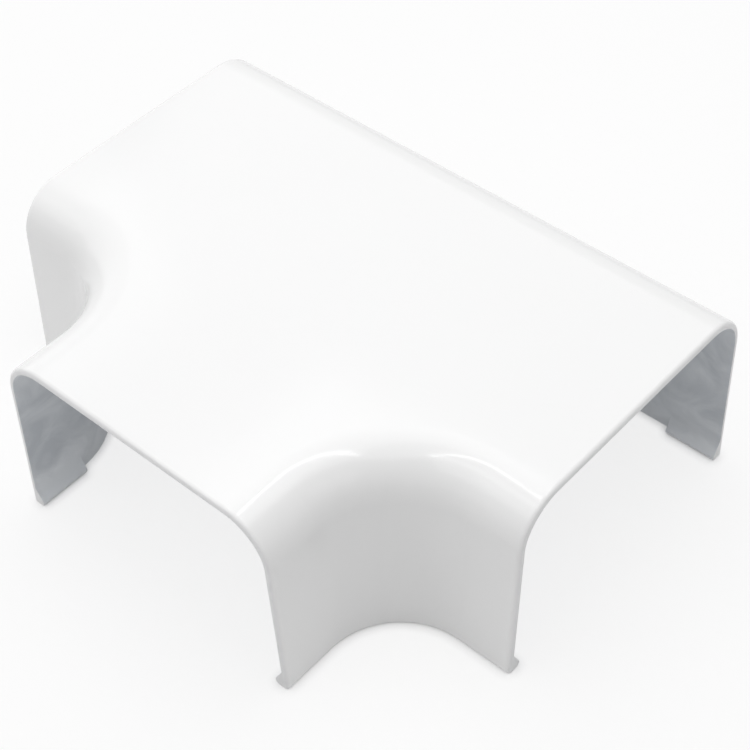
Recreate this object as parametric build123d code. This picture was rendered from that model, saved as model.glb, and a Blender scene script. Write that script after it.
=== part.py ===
from build123d import *
import os
from math import cos, radians, tan

# Trunking that the cover clips over
trunk_width = 100.0
side_clearance = 0.5
inside_height = 63.5

# Shell
wall = 2.0
draft = 2.6  # lean of the walls, in degrees: the shell is widest at the bottom
top_radius = 15.0  # outside rounding between the walls and the top
bend_radius = 25.0  # outside face of the two concave corners, at the bottom
socket_length = 17.5  # straight stretch at each end, which takes the trunking
edge_radius = 1.4  # rounding of the outer edges of the openings and of the bottom

# Snap lip along the bottom of each wall end
lip_reach = 2.9  # how far the nose stands in from the foot of the wall
lead_in_radius = 1.3  # rounding under the nose, which spreads the walls over the trunking
nose_height = 0.5  # upright stretch of the nose above that rounding
ramp_height = 5.1  # long slope above the nose, back to the wall
nose_radius = 0.35  # rounding between the nose and the slope

# Sizes that follow
height = inside_height + wall
width = trunk_width + 2 * (side_clearance + wall)
leg = bend_radius + socket_length
run_length = width + 2 * leg
depth = width + leg
lean = tan(radians(draft))
wall_at_foot = wall / cos(radians(draft))
nose_top = lead_in_radius + nose_height
lip_height = nose_top + ramp_height
overrun = height * lean + wall  # spare length of the legs before the ends are trimmed

# Places: the run lies along X at the back, and the branch points to -Y
back_y = depth / 2
front_y = back_y - width
run_y = back_y - width / 2
branch_end_y = -depth / 2
run_end_x = run_length / 2


def tee_plan(inset, spare):
    """T outline at the bottom, moved in from the outside by inset, with its three legs longer by spare."""
    band = width - 2 * inset
    run = Pos(0, run_y) * Rectangle(run_length + 2 * spare, band)
    branch_length = run_y - branch_end_y + spare
    branch = Pos(0, run_y - branch_length / 2) * Rectangle(band, branch_length)
    outline = run + branch
    concave_corners = outline.vertices().group_by(Axis.Y)[1].sort_by(lambda v: abs(v.X))[:2]
    return fillet(concave_corners, bend_radius + inset)


def tee_block(inset, spare, block_height, rounding):
    """Solid T with leaning walls and a rounded top edge, longer than the part at its three ends."""
    block = extrude(tee_plan(inset, spare), amount=block_height, taper=draft)
    top = block.faces().sort_by(Axis.Z)[-1]
    along_walls = [
        e
        for e in top.edges()
        if abs(e.center().X) < run_end_x and e.center().Y > branch_end_y
    ]
    return fillet(along_walls, rounding)


def break_edges(block):
    """Rounds the outer edges of the openings and of the bottom, but not the short edges where they cross."""
    edges = block.edges()
    foot = edges.group_by(Axis.Z)[0]
    run_ends = edges.group_by(Axis.X)[0] + edges.group_by(Axis.X)[-1]
    rims = run_ends + edges.group_by(Axis.Y)[0]
    return fillet((foot - rims) + (rims - foot), edge_radius)


def shell():
    """Thin cover of even wall, open underneath and trimmed square at its three ends."""
    envelope = Box(run_length, depth, height, align=(Align.CENTER, Align.CENTER, Align.MIN))
    outside = break_edges(tee_block(0, overrun, height, top_radius) & envelope)
    inside = tee_block(wall_at_foot, overrun + wall, inside_height, top_radius - wall)
    return outside - inside


def lip_profile():
    """Section of a snap lip: X runs inwards from the outer bottom edge of the wall, Y runs up."""
    root = (edge_radius + wall_at_foot) / 2
    nose = wall_at_foot + lip_reach
    section = make_face(
        Polyline(
            (root, 0),
            (nose, 0),
            (nose, nose_top),
            (wall_at_foot + lip_height * lean, lip_height),
            (root + lip_height * lean, lip_height),
            close=True,
        )
    )
    under_nose = section.vertices().group_by(Axis.X)[-1].sort_by(Axis.Y)[0]
    section = fillet(under_nose, lead_in_radius)
    over_nose = section.vertices().group_by(Axis.X)[-1].sort_by(Axis.Y)[-1]
    return fillet(over_nose, nose_radius)


def lips():
    """A lip at each of the six wall ends: three here, and their mirror images across the branch."""
    lip = extrude(Plane.YZ * lip_profile(), amount=socket_length)
    front_left = Pos(-run_end_x, front_y) * lip
    back_left = Pos(-run_end_x, back_y) * mirror(lip, about=Plane.XZ)
    branch_right = Pos(width / 2, branch_end_y) * Rot(0, 0, 90) * lip
    half = [front_left, back_left, branch_right]
    return half + [mirror(one, about=Plane.YZ) for one in half]


def tee_cover():
    """The shell with its six lips."""
    return shell() + lips()


os.makedirs("parts", exist_ok=True)
export_step(tee_cover(), "parts/tee_cover.step")
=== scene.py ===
from math import cos, pi, radians, tan

import bmesh
import bpy
from mathutils import Matrix, Vector


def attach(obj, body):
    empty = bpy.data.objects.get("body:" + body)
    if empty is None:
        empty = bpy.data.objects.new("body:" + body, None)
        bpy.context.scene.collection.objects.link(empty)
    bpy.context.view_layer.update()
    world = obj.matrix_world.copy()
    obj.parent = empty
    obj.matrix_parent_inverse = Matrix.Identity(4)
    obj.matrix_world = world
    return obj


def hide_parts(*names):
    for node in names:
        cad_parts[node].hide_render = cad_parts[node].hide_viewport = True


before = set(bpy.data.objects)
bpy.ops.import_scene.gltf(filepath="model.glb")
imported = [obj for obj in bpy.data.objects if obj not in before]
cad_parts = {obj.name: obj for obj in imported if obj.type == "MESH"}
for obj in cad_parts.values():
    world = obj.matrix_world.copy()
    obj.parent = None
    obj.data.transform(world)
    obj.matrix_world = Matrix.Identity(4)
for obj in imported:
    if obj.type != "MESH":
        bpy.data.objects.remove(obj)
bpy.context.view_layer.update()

# Sizes of the cover, in metres
width = 0.105  # outside width of the run and of the branch, at the foot
height = 0.0655
wall = 0.002
draft = radians(2.6)  # lean of the walls
top_radius = 0.015  # outside rounding between the walls and the top
bend_radius = 0.025  # outside face of the concave corners, at the foot
socket_length = 0.0175  # straight stretch at each end
edge_radius = 0.0014  # outer edges of the openings and of the foot
corner_softness = 0.00015  # every other corner of the moulding

# Snap lips
lip_reach = 0.0029
lead_in_radius = 0.0013  # rounding under the nose
nose_height = 0.0005
ramp_height = 0.0051
nose_softness = 0.00018

# Sizes and places that follow
lean = tan(draft)
leg = bend_radius + socket_length
run_end_x = width / 2 + leg
depth = width + leg
back_y = depth / 2
front_y = back_y - width
run_y = back_y - width / 2
branch_end_y = -depth / 2
spare = height * lean + wall  # extra length of the legs before they are trimmed
wall_at_foot = wall / cos(draft)
nose_line = wall_at_foot + lip_reach  # from the outer foot to the nose of a lip
nose_top = lead_in_radius + nose_height
lip_height = nose_top + ramp_height

# Facets along each rounding
bend_steps = 24
top_steps = 16
edge_steps = 6
lead_in_steps = 6
nose_steps = 3
corner_steps = 2

outside, inside, rim = 0, 1, 2  # material numbers on the cover
near = 1e-5
square_on = 0.99  # part of a normal along an axis, from which a face counts as square to it
sharp_angle = radians(40)  # corners from here up are broken
smooth_angle = radians(35)  # facets up to here are shaded as one surface


# Modelling

def edit(piece):
    """Opens one piece in edit mode, with nothing else selected."""
    bpy.ops.object.select_all(action="DESELECT")
    bpy.context.view_layer.objects.active = piece
    piece.select_set(True)
    bpy.ops.object.mode_set(mode="EDIT")


def pick(kind, test):
    """Selects the vertices, edges or faces that pass a test, and nothing else."""
    bpy.ops.mesh.select_mode(type=kind)
    bpy.ops.mesh.select_all(action="DESELECT")
    mesh = bmesh.from_edit_mesh(bpy.context.edit_object.data)
    mesh.normal_update()
    for item in {"VERT": mesh.verts, "EDGE": mesh.edges, "FACE": mesh.faces}[kind]:
        item.select_set(bool(test(item)))
    mesh.select_flush_mode()
    bmesh.update_edit_mesh(bpy.context.edit_object.data)


def middle(edge):
    """Point half way along an edge."""
    return (edge.verts[0].co + edge.verts[1].co) / 2


def cut(place, normal, trim=False):
    """Cuts the whole mesh along a plane, and removes what lies beyond it if it is trimmed."""
    bpy.ops.mesh.select_all(action="SELECT")
    bpy.ops.mesh.bisect(plane_co=place, plane_no=normal, clear_outer=trim, threshold=near / 10)


def in_socket(point):
    """True in the three straight ends that take the trunking."""
    return abs(point.x) > run_end_x - socket_length or point.y < branch_end_y + socket_length


def from_foot(point):
    """Distance inwards from the outer foot of the nearest wall of a leg."""
    if abs(point.x) > width / 2:
        return min(back_y - point.y, point.y - front_y)
    return width / 2 - abs(point.x)


def across_a_leg(face):
    """True for the flat ends of the legs and of the lips."""
    m = face.calc_center_median()
    if abs(m.x) > width / 2:
        return abs(m.x) > run_end_x - socket_length - 10 * near and abs(face.normal.x) > square_on
    return m.y < branch_end_y + socket_length + 10 * near and abs(face.normal.y) > square_on


def draw_plan():
    """A flat T: the square where the legs meet, three legs drawn out of it, and two round corners."""
    bpy.ops.object.select_all(action="DESELECT")
    bpy.ops.mesh.primitive_plane_add(size=width, location=(0, run_y, 0))
    cover = bpy.context.object
    cover.name = cover.data.name = "cover"
    bpy.ops.object.transform_apply(location=True, rotation=True, scale=True)
    edit(cover)
    for out in (Vector((1, 0, 0)), Vector((-1, 0, 0)), Vector((0, -1, 0))):
        side = Vector((0, run_y, 0)) + out * width / 2
        pick("EDGE", lambda e: (middle(e) - side).length < near)
        bpy.ops.mesh.extrude_region_move(TRANSFORM_OT_translate={"value": out * (leg + spare)})
    pick("EDGE", lambda e: len(e.link_faces) == 2)
    bpy.ops.mesh.dissolve_edges(use_verts=False)
    pick("VERT", lambda v: abs(v.co.y - front_y) < near and abs(abs(v.co.x) - width / 2) < near)
    bpy.ops.mesh.bevel(offset=bend_radius, segments=bend_steps, affect="VERTICES")
    return cover


def raise_walls():
    """Leaning walls up to the flat top, the large rounding along them, and square ends."""
    bpy.ops.mesh.select_all(action="SELECT")
    bpy.ops.mesh.inset(thickness=height * lean, depth=height)
    tangent = top_radius / tan(pi / 4 + draft / 2)

    def along_a_wall(e):
        m = middle(e)
        return m.z > height - near and abs(m.x) < run_end_x and m.y > branch_end_y

    pick("EDGE", along_a_wall)
    bpy.ops.mesh.bevel(offset=tangent, segments=top_steps, affect="EDGES")
    cut((run_end_x, 0, 0), (1, 0, 0), trim=True)
    cut((-run_end_x, 0, 0), (-1, 0, 0), trim=True)
    cut((0, branch_end_y, 0), (0, -1, 0), trim=True)
    cut((run_end_x - socket_length, 0, 0), (1, 0, 0))
    cut((socket_length - run_end_x, 0, 0), (-1, 0, 0))
    cut((0, branch_end_y + socket_length, 0), (0, -1, 0))


def thicken(cover):
    """Gives the shell its wall, and levels its foot."""
    bpy.ops.object.mode_set(mode="OBJECT")
    shell = cover.modifiers.new("wall", "SOLIDIFY")
    shell.thickness = wall
    shell.offset = -1
    shell.use_even_offset = True
    shell.material_offset = inside
    shell.material_offset_rim = rim
    bpy.ops.object.modifier_apply(modifier=shell.name)
    edit(cover)
    pick("VERT", lambda v: v.co.z < near)
    bpy.ops.transform.resize(value=(1, 1, 0), center_override=(0, 0, 0))


def draw_lips():
    """Pulls a snap lip out of the foot of the inner wall, at both walls of each end."""
    for z in (nose_top, lip_height):
        cut((0, 0, z), (0, 0, 1))

    def lip_patch(f):
        m = f.calc_center_median()
        return f.material_index == inside and m.z < lip_height and in_socket(m)

    pick("FACE", lip_patch)
    bpy.ops.mesh.extrude_region_move(TRANSFORM_OT_translate={"value": (0, 0, 0)})
    mesh = bmesh.from_edit_mesh(bpy.context.edit_object.data)
    for v in mesh.verts:
        v.tag = v.select
    walls = (
        (lambda p: p.y > run_y and abs(p.x) > width / 2, (0, -1, 0)),
        (lambda p: front_y < p.y < run_y and abs(p.x) > width / 2, (0, 1, 0)),
        (lambda p: p.y < front_y and 0 < p.x < width / 2, (-1, 0, 0)),
        (lambda p: p.y < front_y and -width / 2 < p.x < 0, (1, 0, 0)),
    )
    for on_wall, inwards in walls:
        for z in (0, nose_top):
            pick("VERT", lambda v: v.tag and abs(v.co.z - z) < near and on_wall(v.co))
            bpy.ops.transform.translate(value=Vector(inwards) * (lip_reach - z * lean))
    bpy.ops.mesh.select_all(action="SELECT")
    bpy.ops.mesh.remove_doubles(threshold=near)
    pick("FACE", across_a_leg)
    bpy.ops.mesh.dissolve_faces()

    def on_nose(e, z):
        m = middle(e)
        level = all(abs(v.co.z - z) < near for v in e.verts)
        return level and in_socket(m) and abs(from_foot(m) - nose_line) < near

    pick("EDGE", lambda e: on_nose(e, nose_top))
    bpy.ops.mesh.bevel(offset=nose_softness, segments=nose_steps, affect="EDGES")
    pick("EDGE", lambda e: on_nose(e, 0))
    bpy.ops.mesh.bevel(offset=lead_in_radius, segments=lead_in_steps, affect="EDGES")


def soften():
    """Rounds the outer edges of the openings and of the foot, and breaks every other corner a little."""
    pick("EDGE", lambda e: {f.material_index for f in e.link_faces} == {outside, rim})
    bpy.ops.mesh.bevel(offset=edge_radius, segments=edge_steps, affect="EDGES")
    bpy.ops.mesh.select_all(action="DESELECT")
    bpy.ops.mesh.edges_select_sharp(sharpness=sharp_angle)
    bpy.ops.mesh.bevel(offset=corner_softness, segments=corner_steps, affect="EDGES")
    pick("VERT", lambda v: v.co.z < 0)
    bpy.ops.transform.resize(value=(1, 1, 0), center_override=(0, 0, 0))


def shade(cover):
    """Smooth shading that keeps the flat faces flat."""
    bpy.ops.object.mode_set(mode="OBJECT")
    bpy.ops.object.shade_smooth_by_angle(angle=smooth_angle)
    even = cover.modifiers.new("even shading", "WEIGHTED_NORMAL")
    even.keep_sharp = True
    even.weight = 60
    bpy.ops.object.modifier_apply(modifier=even.name)


def build_cover(finishes):
    """The whole cover, with its finishes in the order of the material numbers."""
    cover = draw_plan()
    for finish in finishes:
        cover.data.materials.append(finish)
    raise_walls()
    thicken(cover)
    draw_lips()
    soften()
    shade(cover)
    return cover


# Finishes

class Shade:
    """An output of a node, which Python sums turn into Math nodes."""

    def __init__(self, tree, output=None):
        self.tree = tree
        self.output = output

    def node(self, kind, settings, inputs, output=0):
        made = self.tree.nodes.new("ShaderNode" + kind)
        for name, setting in settings.items():
            setattr(made, name, setting)
        for name, value in inputs.items():
            if isinstance(value, Shade):
                self.tree.links.new(value.output, made.inputs[name])
            else:
                made.inputs[name].default_value = value
        return Shade(self.tree, made.outputs[output])

    def math(self, operation, first, second):
        return self.node("Math", {"operation": operation}, {0: first, 1: second})

    def __add__(self, other):
        return self.math("ADD", self, other)

    def __radd__(self, other):
        return self.math("ADD", other, self)

    def __sub__(self, other):
        return self.math("SUBTRACT", self, other)

    def __rsub__(self, other):
        return self.math("SUBTRACT", other, self)

    def __mul__(self, other):
        return self.math("MULTIPLY", self, other)

    def __rmul__(self, other):
        return self.math("MULTIPLY", other, self)


def new_material(name):
    material = bpy.data.materials.new(name)
    material.use_nodes = True
    material.node_tree.nodes.clear()
    return material, Shade(material.node_tree)


def grain(start, size, detail=2.0, stretch=(1, 1, 1), swirl=0.0):
    """Soft noise from 0 to 1 whose lumps are about size metres across."""
    place = start.node("TexCoord", {}, {}, "Object")
    scaled = start.node("Mapping", {}, {"Vector": place, "Scale": [s / size for s in stretch]})
    look = {"Vector": scaled, "Scale": 1.0, "Detail": detail, "Roughness": 0.5, "Distortion": swirl}
    return start.node("TexNoise", {}, look, "Fac")


def flow_marks_and_painted_shade(start):
    """Wisps that the melt leaves on the inner walls, laid over painted shade that is darkest a third of the
    way up and pales towards the foot and the top.
    """
    contrast = 1.7
    paler_up, paler_down = 17, -50  # change with each metre above and below the darkest height
    darkest = 0.05
    place = start.node("TexCoord", {}, {}, "Object")
    rise = start.node("SeparateXYZ", {}, {"Vector": place}, "Z") - height / 3
    wisps = grain(start, size=0.018, detail=4.0, stretch=(1, 1, 1.3), swirl=1.6)
    # Painted shade on the inner walls: darkest a third of the way up, lighter towards the lips at the foot
    # and towards the roof.
    painted_shade_by_height = start.math("MAXIMUM", rise * paler_up, rise * paler_down)
    return (wisps - 0.5) * contrast + painted_shade_by_height + darkest


def plastic(name, pale, deep, cloud_and_shade, gloss, gloss_range, ripple):
    """White moulded plastic: two whites mixed by a pattern (close on the outside and the ends, while on the
    inner walls the deep one is painted shade), a gloss that varies a little, and a faintly uneven skin.
    """
    material, start = new_material(name)
    colour = start.node(
        "Mix", {"data_type": "RGBA"}, {"Factor": cloud_and_shade(start), "A": (*deep, 1), "B": (*pale, 1)}, "Result"
    )
    handled = grain(start, size=0.02, detail=4.0)
    peel = grain(start, size=0.0016, detail=1.0)
    wave = grain(start, size=0.03, detail=1.0)
    skin = {"Height": wave * ripple + peel * 0.02, "Strength": 0.12, "Distance": 0.0005}
    uneven = start.node("Bump", {}, skin, "Normal")
    surface = start.node(
        "BsdfPrincipled",
        {},
        {
            "Base Color": colour,
            "Roughness": gloss + (handled - 0.5) * gloss_range,
            "IOR": 1.52,
            "Normal": uneven,
        },
    )
    end = start.tree.nodes.new("ShaderNodeOutputMaterial")
    start.tree.links.new(surface.output, end.inputs["Surface"])
    return material


def finishes():
    """The outside, the inner walls and the trimmed ends, in the order of the material numbers."""
    face = plastic(
        "polished_white",
        pale=(0.885, 0.885, 0.885),
        deep=(0.87, 0.87, 0.87),
        cloud_and_shade=lambda start: grain(start, size=0.06),
        gloss=0.11,
        gloss_range=0.05,
        ripple=0.35,
    )
    back = plastic(
        "moulded_inside",
        # Painted shade: both inner colours are bluer than the outer white and the deep one is far darker,
        # standing in for the shade under the roof.
        pale=(0.862, 0.884, 0.908),
        deep=(0.575, 0.602, 0.636),
        cloud_and_shade=flow_marks_and_painted_shade,
        gloss=0.34,
        gloss_range=0.16,
        ripple=0.6,
    )
    ends = plastic(
        "trimmed_rim",
        pale=(0.84, 0.84, 0.845),
        deep=(0.79, 0.79, 0.795),
        cloud_and_shade=lambda start: grain(start, size=0.004),
        gloss=0.4,
        gloss_range=0.1,
        ripple=0.3,
    )
    return face, back, ends


# Studio

def floor():
    """Pale paper that the camera sees nearly white, with a thin contact shadow where the part stands on it:
    an occlusion mask, a painted shade, takes the white glow away there and lets the paper's own shadow show.
    """
    glow, mirrored_glow = 0.8, 0.3  # share of plain white over the paper, seen directly and in the gloss
    contact_shadow_reach = 0.003  # reach of the contact shadow that the occlusion mask paints
    bpy.ops.object.select_all(action="DESELECT")
    bpy.ops.mesh.primitive_circle_add(vertices=96, radius=3.0, fill_type="NGON", location=(0, 0, -0.0001))
    ground = bpy.context.object
    ground.name = "floor"
    material, start = new_material("pale_floor")
    seen = start.node("LightPath", {}, {}, "Is Camera Ray")
    mirrored = start.node("LightPath", {}, {}, "Is Glossy Ray")
    paper = start.node("BsdfDiffuse", {}, {"Color": (0.9, 0.9, 0.9, 1)})
    white = start.node("Emission", {}, {"Color": (1, 1, 1, 1), "Strength": 1.0})
    clear = start.node("AmbientOcclusion", {"samples": 8}, {"Distance": contact_shadow_reach}, "AO")
    # Painted shade: near the part the occlusion mask takes the white glow away, so the paper's own shadow
    # shows as a dark contact line.
    share = seen * clear * glow + mirrored * mirrored_glow
    mixed = start.node("MixShader", {}, {0: share, 1: paper, 2: white})
    end = start.tree.nodes.new("ShaderNodeOutputMaterial")
    start.tree.links.new(mixed.output, end.inputs["Surface"])
    ground.data.materials.append(material)


def daylight():
    """An even white surround: plain light on the part, and white where the camera or a reflection sees it."""
    world = bpy.data.worlds.new("surround")
    bpy.context.scene.world = world
    world.use_nodes = True
    world.node_tree.nodes.clear()
    start = Shade(world.node_tree)
    seen = start.node("LightPath", {}, {}, "Is Camera Ray")
    mirrored = start.node("LightPath", {}, {}, "Is Glossy Ray")
    through = start.node("LightPath", {}, {}, "Is Transmission Ray")
    plain = 0.3  # strength of the light that falls on the part
    strength = plain + (1 - plain) * (seen + through + mirrored)
    sky = start.node("Background", {}, {"Color": (1, 1, 1, 1), "Strength": strength})
    end = world.node_tree.nodes.new("ShaderNodeOutputWorld")
    world.node_tree.links.new(sky.output, end.inputs["Surface"])


def softbox(name, start, end, breadth, power):
    """A rectangle of light that runs from one point to another and faces the part."""
    place = (Vector(start) + Vector(end)) / 2
    back = (place - Vector((0, 0, height / 2))).normalized()
    along = Vector(end) - Vector(start)
    side = back.cross(along).normalized()
    lamp = bpy.data.lights.new(name, "AREA")
    lamp.shape = "RECTANGLE"
    lamp.size, lamp.size_y = along.length, breadth
    lamp.energy = power
    holder = bpy.data.objects.new(name, lamp)
    facing = Matrix((side.cross(back), side, back)).transposed()
    holder.matrix_world = Matrix.Translation(place) @ facing.to_4x4()
    bpy.context.scene.collection.objects.link(holder)


def lamps():
    """Large weak softboxes round the part, and two narrow strips that draw the streaks on its shoulders."""
    softbox("overhead", (-0.8, 0, 1.3), (0.8, 0, 1.3), 1.6, 7.2)
    softbox("behind", (-1.0, 0.5, 1.2), (0.6, 0.5, 1.2), 1.4, 4.9)
    softbox("left side", (-1.2, -0.7, 0.7), (-1.2, 0.7, 0.7), 1.1, 2.2)
    softbox("front high", (-0.8, -0.9, 1.1), (0.2, -0.9, 1.1), 0.8, 1.75)
    softbox("left front", (-1.0, -0.5, 0.8), (-0.5, -1.0, 0.8), 0.6, 0.75)
    softbox("right side", (1.2, -0.4, 0.7), (1.2, 0.4, 0.7), 0.6, 0.7)
    softbox("right strip", (-0.10, 0.44, 1.0), (0.47, -0.12, 1.0), 0.035, 0.5)
    softbox("left strip", (-0.45, 0.02, 1.0), (0.09, -0.51, 1.0), 0.035, 0.5)


def camera():
    """Stands where the photograph was taken from, on a square picture."""
    azimuth, elevation, roll = radians(42.605), radians(46.897), radians(-2.038)
    # Aside, up and back from the middle of the back wall's foot
    away = Vector((-0.033954, -0.020953, 0.572931))
    picture_px = 750
    focal_px = 1738.606
    around = Matrix.Rotation(azimuth, 3, "Z")
    down = Matrix.Rotation(pi / 2 - elevation, 3, "X")
    turn = around @ down @ Matrix.Rotation(roll, 3, "Z")
    eye = bpy.data.cameras.new("camera")
    eye.sensor_width = 36.0
    eye.lens = eye.sensor_width * focal_px / picture_px
    eye.clip_start, eye.clip_end = 0.01, 20
    holder = bpy.data.objects.new("camera", eye)
    holder.matrix_world = Matrix.Translation(Vector((0, back_y, 0)) + turn @ away) @ turn.to_4x4()
    bpy.context.scene.collection.objects.link(holder)
    bpy.context.scene.camera = holder


cover = build_cover(finishes())
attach(cover, "root")
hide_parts("tee_cover")

floor()
daylight()
lamps()
camera()
bpy.context.scene.view_settings.view_transform = "Standard"
